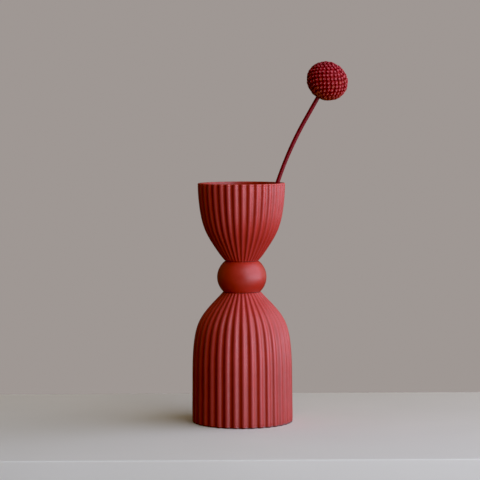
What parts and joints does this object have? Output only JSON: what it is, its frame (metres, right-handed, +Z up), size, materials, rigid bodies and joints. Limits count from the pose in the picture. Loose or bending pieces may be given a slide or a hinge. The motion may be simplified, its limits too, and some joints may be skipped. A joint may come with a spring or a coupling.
{
  "type": "bud vase",
  "caption": "Fluted hourglass bud vase with a smooth bead at its waist, holding a leaning dried globe flower that lifts out.",
  "frame": {"origin": "centre of the flat underside, on the vase's own axis", "axes": "+Z up along the vase's axis; the flower leans towards +X; the front of the picture looks along +Y"},
  "size_m": [0.0984, 0.0632, 0.2257],
  "materials": {
    "body_ceramic": "satin",
    "bead_ceramic": "satin",
    "floor_ceramic": "matte",
    "slip": "matte",
    "stem": "matte",
    "receptacle": "matte",
    "florets": "matte"
  },
  "bodies": {
    "vase": {"lower_body": "body_ceramic", "floor_disc": "floor_ceramic", "floor_slip_seam": "slip", "waist_bead": "bead_ceramic", "lower_slip_seam": "slip", "upper_slip_seam": "slip", "upper_cup": "body_ceramic"},
    "flower": {"flower_stem": "stem", "flower_receptacle": "receptacle", "floret_globe": "florets"}
  },
  "joints": [
    {"name": "flower_lift", "type": "slide", "parent": "vase", "child": "flower", "axis": [0.3173, 0, 0.9483], "range_m": [0, 0.165]}
  ]
}
